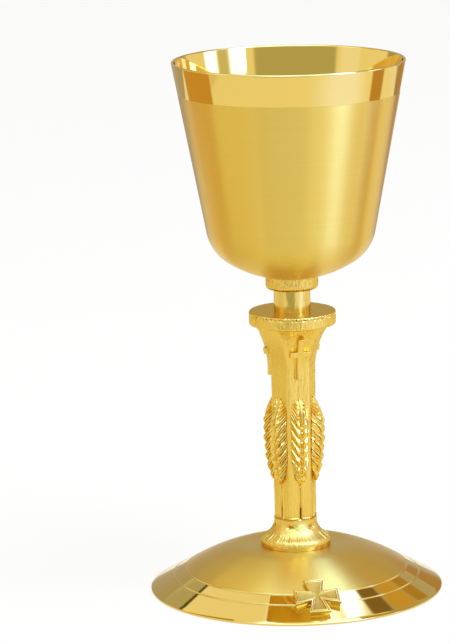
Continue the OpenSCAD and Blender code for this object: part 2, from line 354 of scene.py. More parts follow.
satinGold = goldFinish("satinGold", shades(satinTone, 0.3), (0.31, 0.39), (30, 3800), (14, 900), 0.002,
                       whiteTone, 0.96)
domeGold = goldFinish("domeGold", shades(satinTone, 0.3), (0.28, 0.38), (30, 6500), (14, 1500), 0.002,
                      whiteTone, 0.8)
knopGold = goldFinish("knopGold", shades(satinTone, 0.5), (0.2, 0.3), (900, 900), (160, 160), 0.002)
mirrorGold = goldFinish("mirrorGold", shades(goldTone, 0.06), (0.03, 0.06), (40, 300), (14, 40), 0.0002,
                        whiteTone)
barkGold = goldFinish("barkGold", shades(castTone, 0.4), (0.24, 0.34), (2400, 240), (700, 40), 0.011)
grainGold = goldFinish("grainGold", shades(castTone, 0.3), (0.1, 0.18), (1600, 700), (500, 300), 0.005)
footGold = goldFinish("footGold", shades(castTone, 0.4), (0.36, 0.46), (2400, 240), (700, 40), 0.011)
fieldGold = goldFinish("fieldGold", fieldTones, (0.36, 0.48), (1200, 1200), (300, 300), 0.008)
# painted shade: the dark gold that the deep nicks, pits and clefts are coloured with
paintedShadeGold = goldFinish("paintedShadeGold", paintedShadeTones, (0.4, 0.55), (1600, 700), (500, 300), 0.005)
polishedGold = goldFinish("polishedGold", shades(goldTone, 0.2), (0.08, 0.16), (1400, 500), (300, 90),
                          0.005)
neckGold = goldFinish("neckGold", shades(goldTone, 0.15), (0.14, 0.22), (2200, 500), (300, 90), 0.004)
plainBrass = goldFinish("plainBrass", shades(brassTone, 0.5), (0.26, 0.4), (60, 3000), (200, 200), 0.003)
print("finishes made")


# cup: spun bowl with a rolled lip

cupSettings = dict(wallHeight=73.1, taper=10.6, knuckle=19.4, bottom=51.7, sheet=1.2, seatMargin=0.55,
                   band=13.0, lipRing=0.15, steps=256)


def makeCup(s):
    low, high = cadCorners("cup")
    lean = radians(s["taper"])
    mouth = high.x
    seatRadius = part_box("upper_collar")[1].x / mm + s["seatMargin"]
    wallFoot = high.z - s["wallHeight"] - s["sheet"] / 2 * (1 + sin(lean))
    footRadius = mouth - s["wallHeight"] * tan(lean)
    knuckleMid = (footRadius - s["knuckle"] * cos(lean), wallFoot + s["knuckle"] * sin(lean))
    bottomMid = (0, knuckleMid[1] + sqrt((s["bottom"] - s["knuckle"]) ** 2 - knuckleMid[0] ** 2))
    turnEnd = degrees(atan2(knuckleMid[1] - bottomMid[1], knuckleMid[0]))
    seatTurn = -degrees(acos(seatRadius / s["bottom"]))
    inner = s["bottom"] - s["sheet"]
    floorDrop = bottomMid[1] - low.z - s["sheet"]
    floorTurn = -degrees(acos(sqrt(inner ** 2 - floorDrop ** 2) / inner))
    half = s["sheet"] / 2
    lipMid = (mouth - cos(lean) * half, wallFoot + s["wallHeight"] + sin(lean) * half)
    bandTop = (mouth - s["band"] * tan(lean), wallFoot + s["wallHeight"] - s["band"])
    wallTop = (mouth, wallFoot + s["wallHeight"])
    underLip = (mouth - s["lipRing"] * tan(lean), wallTop[1] - s["lipRing"])
    wallEnd = (footRadius, wallFoot)
    innerEnd = (footRadius - cos(lean) * s["sheet"], wallFoot + sin(lean) * s["sheet"])
    outside = ([(0, low.z)] + arcPoints(bottomMid, s["bottom"], seatTurn, turnEnd, 14)
               + arcPoints(knuckleMid, s["knuckle"], turnEnd, -s["taper"], 24)
               + linePoints(wallEnd, bandTop, 20) + linePoints(bandTop, underLip, 5) + [wallTop])
    lip = arcPoints(lipMid, half, -s["taper"], 180 - s["taper"], 10)
    inLip = (lip[-1][0] - s["lipRing"] * tan(lean), lip[-1][1] - s["lipRing"])
    inside = (linePoints(inLip, innerEnd, 24)
              + arcPoints(knuckleMid, s["knuckle"] - s["sheet"], -s["taper"], turnEnd, 24)
              + arcPoints(bottomMid, inner, turnEnd, floorTurn, 14) + [(0, low.z + s["sheet"])])
    cup = turned("cup_spun", outside + lip + inside, s["steps"])
    smooth(cup, 40)

    def polished(middle, normal):
        outward = normal.x * middle.x + normal.y * middle.y > 0 and normal.z < 0.3
        return not (outward and middle.z < bandTop[1])

    paint(cup, satinGold, (mirrorGold, polished))
    seat(cup, "chalice", "satin_gold", "cup")


makeCup(cupSettings)
print("cup spun")


# collar under the cup: cast ring, cut with upright nicks

# strokes: (size across, size along, shift, weight) of each layer of marks, here and on the pieces below
collarSettings = dict(corner=1.8, topBreak=0.35, bossPlay=0.3, nick=0.2, keen=1.3, nickFade=(2.2, 0.6),
                      topFade=0.3, topCalm=0.8, steps=400,
                      strokes=[(0.55, 2.6, 0, 1), (0.28, 1.2, 31, 0.6)])


def makeCollar(s):
    low, high = cadCorners("upper_collar")
    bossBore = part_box("cup_boss")[1].x / mm + s["bossPlay"]
    rim = high.x - s["nick"]
    inner = rim - s["corner"]
    fadeStart, fadeEnd = (rim - inset for inset in s["nickFade"])
    outline = ([(bossBore, low.z)] + linePoints((bossBore + 1, low.z), (inner, low.z), 6)
               + arcPoints((inner, low.z + s["corner"]), s["corner"], -90, 0, 10)
               + linePoints((rim, low.z + s["corner"]), (rim, high.z - s["topBreak"]), 20)
               + arcPoints((rim - s["topBreak"], high.z - s["topBreak"]), s["topBreak"], 0, 90, 4)
               + [(bossBore, high.z), (bossBore, low.z)])
    collar = turned("collar_ring", outline, s["steps"])

    def nicked(point, normal):
        share = ramp(reachOf(point), fadeStart, fadeEnd)
        share *= 1 - s["topCalm"] * ramp(point.z, high.z - s["topFade"], high.z)
        return s["nick"] * share * clamp(s["keen"] * cutMarks(point, s["strokes"]))

    tool(collar, nicked)
    smooth(collar, 50)
    paint(collar, barkGold)
    seat(collar, "chalice", "cast_gold", "upper_collar")


makeCollar(collarSettings)


# neck: short sleeve, planished with upright strokes

neckSettings = dict(stroke=0.045, skin=0.2, keen=1.3, steps=220,
                    strokes=[(1.1, 6.0, 7, 1), (0.5, 3.0, 19, 0.5)])


def makeNeck(s):
    low, high = cadCorners("neck_sleeve")
    rim = high.x - s["stroke"]
    outline = ([(rodBore, low.z)] + linePoints((rim, low.z), (rim, high.z), 40)
               + [(rodBore, high.z), (rodBore, low.z)])
    neck = turned("neck_planished", outline, s["steps"])

    def planished(point, normal):
        if reachOf(point) < rim - s["skin"]:
            return 0
        return s["stroke"] * clamp(s["keen"] * cutMarks(point, s["strokes"]))

    tool(neck, planished)
    smooth(neck, 50)
    paint(neck, neckGold)
    seat(neck, "chalice", "polished_gold", "neck_sleeve")


makeNeck(neckSettings)


# knop: flat disc, satin on top, with a bark-cut edge

knopSettings = dict(corner=0.9, nick=0.13, keen=1.2, strokes=[(0.5, 3.0, 3, 1), (0.26, 1.3, 43, 0.6)],
                    nickFade=(1.6, 0.3), deepNick=0.55, deepDrop=1.2, deepHeight=0.5,
                    deepStroke=(0.6, 2.5, 77), deepRange=(0.06, 0.3), paintedShadeFrom=0.6, paintedShadeSkin=1.2, steps=640)


def makeKnop(s):
    low, high = cadCorners("knop_disc")
    rim = high.x - s["nick"]
    inner = rim - s["corner"]
    outline = ([(rodBore, low.z)] + linePoints((rodBore + 1, low.z), (inner, low.z), 12)
               + arcPoints((inner, low.z + s["corner"]), s["corner"], -90, 0, 8)
               + linePoints((rim, low.z + s["corner"]), (rim, high.z - s["corner"]), 18)
               + arcPoints((inner, high.z - s["corner"]), s["corner"], 0, 90, 8)
               + linePoints((inner, high.z), (rodBore + 1, high.z), 30)
               + [(rodBore, high.z), (rodBore, low.z)])
    knop = turned("knop_disc_cut", outline, s["steps"])

    def deepCut(point):
        row = exp(-((point.z - high.z + s["deepDrop"]) / s["deepHeight"]) ** 2)
        return row * ramp(streak(point, *s["deepStroke"]), *s["deepRange"])

    def nicked(point, normal):
        share = ramp(reachOf(point), *(rim - inset for inset in s["nickFade"]))
        cut = clamp(s["keen"] * cutMarks(point, s["strokes"]))
        return share * (s["nick"] * cut - s["deepNick"] * deepCut(point))

    # painted shade: faces in the deepest nicks near the edge get the dark gold, standing in for the shade
    # in them
    def paintedShadeFaces(middle, normal):
        return reachOf(middle) > rim - s["paintedShadeSkin"] and deepCut(middle) > s["paintedShadeFrom"]

    def top(middle, normal):
        return normal.z > 0.9 and reachOf(middle) < inner

    tool(knop, nicked)
    smooth(knop, 50)
    paint(knop, barkGold, (knopGold, top), (paintedShadeGold, paintedShadeFaces))
    seat(knop, "chalice", "cast_gold", "knop_disc")


makeKnop(knopSettings)
print("collar, neck and knop cut")


# base: spun dome with two engraved lines and a polished slope

baseSettings = dict(sheet=1.2, edge=0.9, rest=1.6, rimBreak=0.25, lip=0.3, bandSlope=28, bandStart=0.6,
                    lines=(10.05, 15.45), lineWidth=0.7, lineDepth=0.3, lineMargin=0.5,
                    domeSlope=31, dome=86, seatBlend=21, seatWidth=44, steps=320)


def makeBase(s):
    low, high = cadCorners("base_dome")
    rim = high.x
    slope = radians(s["bandSlope"])

    def bandHeight(radius):
        return s["edge"] + (rim - radius) * tan(slope)

    def onBand(radius):
        return radius, bandHeight(radius)

    def groove(radius):
        at = onBand(radius)
        points = []
        for i in range(-4, 5):
            along = i / 4 * s["lineWidth"] / 2
            deep = s["lineDepth"] * (1 + cos(pi * i / 4)) / 2
            points.append((at[0] - along * cos(slope) - deep * sin(slope),
                           at[1] + along * sin(slope) - deep * cos(slope)))
        return points

    lowLine, highLine = (rim - inset for inset in s["lines"])
    domeTop = onBand(highLine)
    lean = radians(s["domeSlope"])
    domeMid = (domeTop[0] - s["dome"] * sin(lean), domeTop[1] - s["dome"] * cos(lean))
    seatRadius = s["seatWidth"] / 2
    blendLean = asin((seatRadius - domeMid[0]) / (s["dome"] - s["seatBlend"]))
    blendMid = (seatRadius, domeMid[1] + (s["dome"] - s["seatBlend"]) * cos(blendLean))
    seatHeight = blendMid[1] + s["seatBlend"]
    up = 90 - degrees(blendLean)
    domeStart = 90 - s["domeSlope"]
    innerRim = rim - s["rest"]
    drop = s["sheet"] / cos(slope)
    startTurn = domeStart + degrees(s["lineWidth"] / s["dome"])
    soft = s["rimBreak"]
    margin = s["lineMargin"]
    outside = ([(rim - soft, 0)] + arcPoints((rim - soft, soft), soft, -90, 0, 4)
               + arcPoints((rim - s["lip"], s["edge"] - s["lip"]), s["lip"], 0, 90 - s["bandSlope"], 6)
               + linePoints(onBand(rim - s["bandStart"]), onBand(lowLine + margin), 8)
               + groove(lowLine) + linePoints(onBand(lowLine - margin), onBand(highLine + margin), 5)
               + groove(highLine) + arcPoints(domeMid, s["dome"], startTurn, up, 30)
               + arcPoints(blendMid, s["seatBlend"], up, 90, 10) + [(rodBore, seatHeight)])
    inside = ([(rodBore, seatHeight - s["sheet"])]
              + arcPoints(blendMid, s["seatBlend"] - s["sheet"], 90, up, 8)
              + arcPoints(domeMid, s["dome"] - s["sheet"], up, domeStart, 20)
              + [(innerRim, bandHeight(innerRim) - drop), (innerRim, 0), (rim - soft, 0)])
    base = turned("base_dome_spun", outside + inside, s["steps"])
    smooth(base, 40)

    def polished(middle, normal):
        return reachOf(middle) > highLine - s["lineWidth"] / 2 and normal.z > -0.2

    def underneath(middle, normal):
        return normal.z < -0.05 and reachOf(middle) < innerRim + 0.1

    paint(base, domeGold, (mirrorGold, polished), (plainBrass, underneath))
    seat(base, "chalice", "satin_gold", "base_dome")
    return rim, bandHeight


baseRim, bandHeight = makeBase(baseSettings)
print("base spun")


# stem: cast six-sided shaft with a flared capital, stalk grooves, corner panels and a trumpet foot

stemSettings = dict(turn=6.5, facets=6, lowWidth=16.5, topWidth=17.6, cornerOut=1.0, cornerSoft=0.07,
                    footHeight=12.2, capitalHeight=20.6, capitalRadius=35, boreSkin=0.5,
                    steps=288, crowding=0.5, rings=0.4, fineRing=0.16, fineCount=15,
                    stalkDepth=0.95, slotTop=5.5, stalkHalf=0.3, stalkTop=45.5, lip=0.42, field=0.14,
                    panelFoot=0.45, panelCorner=0.9, bark=0.11, keen=1.2,
                    strokes=[(0.5, 6.0, 11, 1), (0.25, 2.0, 57, 0.6)],
                    footEdge=1.9, footNeck=18.8, neckRise=0.8, footReach=15.1, footFlare=7.8, footSteps=360,
                    footBreak=0.3, ledge=0.45, footCut=0.36, beadCut=0.16, foldRise=0.06, brushRise=0.05,
                    pitDrop=2.9, pitDepth=0.8, pitWidth=0.2, pitHeight=0.85, paintedShadeFrom=0.55)
stemLow, stemHigh = cadCorners("stem_column")
panelHeight = stemLow.z + stemSettings["footHeight"]
capitalHeight = stemHigh.z - stemSettings["capitalHeight"]


def flatReach(height, s=stemSettings):
    # distance of a flat from the axis at a height
    share = min(1, (height - panelHeight) / (capitalHeight - panelHeight))
    reach = (s["lowWidth"] + (s["topWidth"] - s["lowWidth"]) * share) / 2
    rise = max(0, height - capitalHeight)
    return reach + s["capitalRadius"] - sqrt(s["capitalRadius"] ** 2 - rise ** 2)


def facetAngle(index, s=stemSettings):
    return radians(s["turn"] + index * 360 / s["facets"])


def fromFacet(point, s=stemSettings):
    # angle from the nearest flat's middle
    step = tau / s["facets"]
    angle = atan2(point.x, -point.y) - radians(s["turn"])
    return (angle + step / 2) % step - step / 2


def cornerPit(point, s=stemSettings):
    # a small pit on the foot, under each corner of the shaft
    corner = pi / s["facets"] - abs(fromFacet(point))
    drop = point.z - panelHeight + s["pitDrop"]
    pit = exp(-(corner / s["pitWidth"]) ** 2 - (drop / s["pitHeight"]) ** 2)
    return pit * (0.85 + 0.7 * streak(point, 0.8, 0.8, 91))


def makeShaft(s):
    fine = [panelHeight + s["fineRing"] * i for i in range(s["fineCount"])]
    count = int((stemHigh.z - fine[-1]) / s["rings"])
    heights = fine + [fine[-1] + (stemHigh.z - fine[-1]) * i / count for i in range(1, count + 1)]
    under = (flatReach(panelHeight) - 0.05, panelHeight)
    outline = ([(rodBore, panelHeight)] + linePoints((rodBore + 1, panelHeight), under, 3)
               + [(flatReach(z), z) for z in heights] + [(rodBore, stemHigh.z), (rodBore, panelHeight)])
    shaft = turned("stem_cast", outline, s["steps"])
    for vertex in shaft.data.vertices:
        point = vertex.co / mm
        reach = reachOf(point)
        if reach < rodBore + s["boreSkin"]:
            continue
        flat = min(flatReach(point.z), reach)
        # the columns crowd towards the middle of each flat, where the fine work is
        side = fromFacet(point)
        shift = -s["crowding"] / s["facets"] * sin(s["facets"] * side)
        vertex.co.rotate(Matrix.Rotation(shift, 3, 'Z'))
        corner = flat / cos(side + shift)
        limit = flat + s["cornerOut"]
        soft = s["cornerSoft"]
        wanted = -soft * log(exp(-corner / soft) + exp(-limit / soft))
        vertex.co.x *= wanted / reach
        vertex.co.y *= wanted / reach
    shaft.data.update()

    def panelDepth(side, rise):
        # how far inside the outline of the nearest corner panel
        across = side - s["stalkHalf"]
        up = rise - s["panelFoot"]
        corner = s["panelCorner"]
        if across < corner and up < corner:
            return corner - hypot(corner - across, corner - up)
        return min(across, up)

    def barked(point, normal):
        reach = reachOf(point)
        if reach < rodBore + s["boreSkin"] or abs(normal.z) > 0.9:
            return 0
        side = abs(reach * sin(fromFacet(point)))
        low = 1 - 0.62 * ramp(point.z, panelHeight + 4, panelHeight + 9)
        low *= 1 - ramp(point.z, s["stalkTop"], s["stalkTop"] + 1.5)
        inside = panelDepth(side, point.z - panelHeight)
        border = s["lip"] * exp(-((inside - 0.32) / 0.24) ** 2)
        field = -s["field"] * exp(-((inside - 0.95) / 0.35) ** 2)
        slot = -s["stalkDepth"] * ramp(-inside, -0.05, 0.25) * (1 if side < s["stalkHalf"] else 0.4)
        cut = clamp(s["keen"] * cutMarks(point, s["strokes"]), -1.2)
        return low * (border + field + slot) + s["bark"] * cut

    tool(shaft, barked)
    smooth(shaft, 55)
    return shaft


def makeFoot(s):
    top = (s["footNeck"] / 2, panelHeight - s["neckRise"])
    end = (s["footReach"], stemLow.z + s["footEdge"])
    sweep = 2 * atan((end[0] - top[0]) / (top[1] - end[1]))
    rounding = (top[1] - end[1]) / sin(sweep) - s["footFlare"]
    sweep = degrees(sweep)
    soft = s["footBreak"]
    neck = (top[0], panelHeight)
    outline = ([(rodBore, stemLow.z)] + linePoints((rodBore + 1, stemLow.z), (end[0] - soft, stemLow.z), 4)
               + arcPoints((end[0] - soft, stemLow.z + soft), soft, -90, 0, 3)
               + linePoints((end[0], stemLow.z + soft + 0.1), (end[0], end[1] - 0.1), 5)
               + arcPoints((end[0] - rounding, end[1]), rounding, 0, sweep, 20)
               + arcPoints((top[0] + s["footFlare"], top[1]), s["footFlare"], 180 + sweep, 180, 32)
               + linePoints(top, neck, 6) + linePoints(neck, (rodBore, panelHeight), 8)
               + [(rodBore, stemLow.z)])
    foot = turned("stem_foot", outline, s["footSteps"])

    # the neck goes over from round to the six panels
    flat = flatReach(panelHeight)
    for vertex in foot.data.vertices:
        point = vertex.co / mm
        reach = reachOf(point)
        wanted = min(flat / cos(fromFacet(point)), flat + s["cornerOut"]) + s["ledge"]
        if reach > wanted and point.z > panelHeight - 4:
            scale = 1 + (wanted / reach - 1) * ramp(point.z, panelHeight - 3.5, panelHeight)
            vertex.co.x *= scale
            vertex.co.y *= scale
    foot.data.update()

    def grooved(point, normal):
        reach = reachOf(point)
        if reach < 8 or abs(normal.z) > 0.95 or point.z < stemLow.z + s["footEdge"] - 0.2:
            return 0
        ring = Vector((point.x / reach, point.y / reach, 0))
        slit = ramp(noise.noise(ring * 27), 0.2, 0.42) * ramp(reach, 10.4, 12.0 + 2 * noise.noise(ring * 5))
        slit *= (1 - ramp(reach, 14.3, 15)) * (0.55 + 0.45 * abs(ring.x))
        bead = ramp(noise.noise(ring * 26 + Vector((0, 5, 0))), 0.1, 0.5) * ramp(reach, 14.2, 14.8)
        fold = noise.noise(ring * 8 + Vector((3, 0, point.z * 0.05))) * ramp(reach, 9.6, 12)
        brush = noise.noise(ring * 60) + 0.8 * streak(point, 0.5, 1.2, 61)
        cut = s["footCut"] * slit + s["beadCut"] * bead + s["pitDepth"] * cornerPit(point)
        return s["foldRise"] * fold + s["brushRise"] * brush - cut

    tool(foot, grooved)
    smooth(foot, 50)
    return foot


def makeStem(s):
    shaft = makeShaft(s)
    foot = makeFoot(s)
    takeUp(shaft)
    foot.select_set(True)
    bpy.ops.object.join()

    def polishedEdge(middle, normal):
        return middle.z < stemLow.z + s["footEdge"] and abs(normal.z) < 0.8

    def paintedShadeFaces(middle, normal):
        # painted shade: dark gold on the pits of the foot and on the lower ends of the stalk grooves
        reach = reachOf(middle)
        if middle.z < panelHeight:
            return cornerPit(middle) > s["paintedShadeFrom"]
        side = abs(reach * sin(fromFacet(middle)))
        top = panelHeight + s["slotTop"] + 2 * streak(middle, 0.5, 1.0, 13)
        inGroove = side < s["stalkHalf"] - 0.05 and reach > rodBore + s["boreSkin"]
        return inGroove and panelHeight + 0.5 < middle.z < top

    def footed(middle, normal):
        return middle.z < panelHeight + 0.01

    paint(shaft, barkGold, (footGold, footed), (polishedGold, polishedEdge), (paintedShadeGold, paintedShadeFaces))
    seat(shaft, "chalice", "cast_gold", "stem_column")


makeStem(stemSettings)
print("stem cast")


# wheat ears: a fine skin over each flat, raised into husks, beads and a brush of awns

# firstHusk and brushFoot are heights above the rest plane
earSettings = dict(rise=14, gap=11, width=7.2, height=4.2, peak=0.74, fall=0.26, taper=14, bare=1.0,
                   round=4.6, crown=0.25, crownWidth=0.45, columns=128, rows=310, sunk=0.25,
                   firstHusk=46.6, pitch=4.15, lean=0.85, grain=1.2, swell=0.68, husk=0.42, rib=0.42,
                   valley=0.4, bead=0.28, hatchLean=1.15, hatchPitch=1.5,
                   brushFoot=74.6, awnPitch=1.05, awn=0.34)


def copyRound(model, name, node, facets):
    # a copy of the model on each of these flats of the stem; the model itself is removed
    for count, facet in enumerate(facets, 1):
        takeUp(model)
        bpy.ops.object.duplicate()
        copy = nameActive("%s_%d" % (name, count))
        copy.rotation_euler.z = facetAngle(facet)
        settle(copy)
        seat(copy, "chalice", "cast_gold", "%s_%d" % (node, count))
    bpy.data.objects.remove(model)


def makeEars(s):
    rootHeight = panelHeight + s["rise"]
    tipHeight = capitalHeight - s["gap"]
    length = tipHeight - rootHeight

    def growth(height):
        t = max(0.0, min(1.0, (height - rootHeight) / length))
        return sin(pi / 2 * t / s["peak"]) ** 0.45 if t < s["peak"] else 1.0

    def closing(height):
        t = max(0.0, (height - rootHeight) / length)
        return 1.0 if t < s["peak"] else max(0.0, 1 - ((t - s["peak"]) / s["fall"]) ** 1.5)

    def skin(turn, height):
        # a point on the ear: turn runs from -1 to 1 round it, over a flat crown and two sloping flanks
        low = max(0.02, min(1.0, (height - rootHeight - s["bare"]) / s["taper"]))
        half = s["width"] / 2 * sin(pi / 2 * low) ** 1.1
        top = max(0.0, (height - tipHeight + s["round"]) / s["round"])
        half *= sqrt(max(0.06, 1 - top ** 2))
        side = min(1.0, abs(turn))
        if side < s["crown"]:
            across = s["crownWidth"] * side / s["crown"]
            share = 1 - 0.08 * (side / s["crown"]) ** 2
        else:
            t = (side - s["crown"]) / (1 - s["crown"])
            across = s["crownWidth"] + (1 - s["crownWidth"]) * t
            share = 0.92 * (1 - t ** 1.3)
        closed = closing(height + 4.0 * across * across)
        grown = min(growth(height - 0.7 * across * half), closed, half / 1.6)
        out = flatReach(height) + s["height"] * grown * share
        return Vector((copysign(across * half, turn), -out, height))

    def outward(turn, height):
        turn = clamp(turn, -0.96, 0.96)
        across = skin(turn + 0.03, height) - skin(turn - 0.03, height)
        upward = skin(turn, height + 0.2) - skin(turn, height - 0.2)
        return across.cross(upward).normalized()

    def wandering(way, height):
        return noise.noise(Vector((way * 0.5, height * 0.35, 4)))

    def hatch(way, height, wander):
        # runs from 0 to 1 between one line of the flank's hatching and the next; the right flank's is finer
        spacing = s["hatchPitch"] if way > 0 else s["pitch"]
        return ((height - s["hatchLean"] * abs(way)) / spacing + 0.25 * wander) % 1

    # painted shade: true where a point lies in a cleft of the flank hatching, which is coloured dark gold
    # as shade
    def paintedShadeCleft(way, height):
        off = abs(way)
        near = abs(hatch(way, height, wandering(way, height)) - 0.5) < (0.14 if way > 0 else 0.07)
        return near and off > 1.7 and height - 0.75 * off < s["brushFoot"]

    def relief(way, height):
        # way is the distance from the ear's middle line, round the skin
        off = abs(way)
        wander = wandering(way, height)
        step = (height - s["lean"] * off - s["firstHusk"]) / s["pitch"] + 0.1 * wander
        step += 0.06 if way > 0 else 0
        rise = step % 1
        row = step - rise
        uneven = 0.85 + 0.3 * noise.noise(Vector((row * 3.7, 9 if way > 0 else 2, 0)))
        plump = (1 - rise) / (1 - s["swell"])
        if rise < s["swell"]:
            plump = sin(pi / 2 * rise / s["swell"]) ** 0.9
        head = ramp(off, 0.1, 1.2) * (1 - 0.6 * ramp(off, 1.5, 3.0))
        blade = rise / 0.78 if rise < 0.78 else 1 - ramp(rise, 0.78, 0.98)
        flank = ramp(off, 1.4, 2.6)
        cleft = exp(-((hatch(way, height, wander) - 0.5) / (0.17 if way > 0 else 0.1)) ** 2)
        husks = uneven * (s["grain"] * head * plump + flank * (s["husk"] * blade - s["rib"] * cleft))
        beads = cos(tau * (height / s["pitch"] * 2 + 0.3 * wander))
        beads += 1.6 * streak(Vector((way, 0, height)), 0.7, 1.1, 5)
        column = (1 - ramp(off, 0.2, 0.7)) * (s["bead"] * clamp(0.7 * beads, -1.1) - s["valley"])
        upright = cos(tau * way / s["awnPitch"] / (1 + 0.06 * max(0, height - s["brushFoot"])))
        slanted = cos(tau * (height - 1.2 * off) / (1.9 * s["awnPitch"]) + 2 * wander)
        fan = ramp(off, 1.0, 1.8)
        awns = s["awn"] * (upright * (1 - fan) + 1.2 * slanted * fan)
        pit = -0.5 * exp(-((height - s["brushFoot"]) / 0.9) ** 2 - (way / 1.1) ** 2)
        brush = ramp(height - 0.75 * off, s["brushFoot"] - 1.2, s["brushFoot"] + 0.4)
        return (1 - brush) * (husks + column) + brush * awns + pit

    clearSelection()
    bpy.ops.mesh.primitive_grid_add(x_subdivisions=s["columns"], y_subdivisions=s["rows"], size=2)
    body = nameActive("earBody")
    ranks = {}
    paintedShadeCorners = set()
    for vertex in body.data.vertices:
        ranks.setdefault(round(vertex.co.y, 5), []).append(vertex)
    for level, rank in ranks.items():
        rank.sort(key=lambda vertex: vertex.co.x)
        height = rootHeight + length * (level + 1) / 2
        turns = [vertex.co.x for vertex in rank]
        points = [skin(turn, height) for turn in turns]
        ways = [0.0]
        for here, there in zip(points, points[1:]):
            ways.append(ways[-1] + (there - here).length)
        for vertex, turn, point, way in zip(rank, turns, points, ways):
            edge = min(1, (1 - abs(turn)) / 0.03) * min(1, (1 - abs(level)) / 0.015)
            vertex.co = (point + outward(turn, height) * relief(way - ways[-1] / 2, height) * edge) * mm
            if paintedShadeCleft(way - ways[-1] / 2, height):
                paintedShadeCorners.add(vertex.index)
    body.data.update()
    # painted shade: faces in the hatching's clefts get the dark gold
    for finish in (grainGold, paintedShadeGold):
        body.data.materials.append(finish)
    for face in body.data.polygons:
        face.material_index = int(sum(corner in paintedShadeCorners for corner in face.vertices) > 2)
    editMesh()
    bpy.ops.mesh.select_mode(type='EDGE')
    bpy.ops.mesh.select_all(action='DESELECT')
    bpy.ops.mesh.select_non_manifold()
    bpy.ops.mesh.extrude_edges_move(TRANSFORM_OT_translate={"value": (0, s["sunk"] * mm, 0)})
    bpy.ops.mesh.edge_face_add()
    pickAll()
    bpy.ops.mesh.normals_make_consistent(inside=False)
    closeMesh()
    smooth(body, 60)
    copyRound(body, "ear", "wheat_ear", range(stemSettings["facets"]))


makeEars(earSettings)
print("ears cast")


# Latin crosses, curved to the flare of the capital

crossSettings = dict(height=18.6, span=9.3, bar=2.7, armDrop=7.3, relief=2.4, topRelief=2.0, back=0.4,
                     drop=2.5, cuts=14, soft=0.38, uneven=0.05)


def makeStemCrosses(s):
    foot = capitalHeight - s["drop"]
    armMiddle = foot + s["height"] - s["armDrop"]
    clearSelection()
    bpy.ops.mesh.primitive_cube_add(size=1, location=(0, 0, 0))
    cross = nameActive("stemCross")
    cross.scale = Vector((s["bar"], s["relief"] + s["back"], s["height"])) * mm
    cross.location = Vector((0, (s["back"] - s["relief"]) / 2, foot + s["height"] / 2)) * mm
    settle(cross)
    editMesh()
    for edge in (-0.5, 0.5):
        pickAll()
        bpy.ops.mesh.bisect(plane_co=(0, 0, (armMiddle + edge * s["bar"]) * mm), plane_no=(0, 0, 1))
    for side in (-1, 1):
        pickFaces(cross, lambda middle, normal: normal.x * side > 0.9 and abs(middle.z - armMiddle) < 0.1)
        bpy.ops.mesh.extrude_region_move(
            TRANSFORM_OT_translate={"value": (side * (s["span"] - s["bar"]) / 2 * mm, 0, 0)})
    for i in range(1, s["cuts"]):
        pickAll()
        bpy.ops.mesh.bisect(plane_co=(0, 0, (foot + s["height"] * i / s["cuts"]) * mm), plane_no=(0, 0, 1))
    closeMesh()
    bevel(cross, s["soft"], 4, 60)
    dress(cross, 'SUBSURF', subdivision_type='SIMPLE', levels=2, render_levels=2)
    for vertex in cross.data.vertices:
        share = (vertex.co.z / mm - foot) / s["height"]
        if vertex.co.y < 0:
            vertex.co.y *= 1 + (s["topRelief"] / s["relief"] - 1) * share
        vertex.co.y -= flatReach(vertex.co.z / mm) * mm
    cross.data.update()
    tool(cross, lambda point, normal: s["uneven"] * (streak(point, 0.9, 1.6, 23) - 0.3))
    smooth(cross, 50)
    paint(cross, barkGold)
    copyRound(cross, "cross", "stem_cross", range(0, stemSettings["facets"], 2))


makeStemCrosses(crossSettings)
print("stem crosses made")


# base cross: flared arms, two plates, with a double raised line round a sunk field

# border: each inset round the top, as (width, rise)
baseCrossSettings = dict(inset=12.7, reach=9.7, root=5.6, end=9.3, height=2.5, step=0.3, sunk=0.9,
                         soft=0.07, border=[
                             (0.6, 0), (0.1, -0.35), (0.25, 0), (0.1, 0.3), (0.35, 0), (0.12, -0.5)])


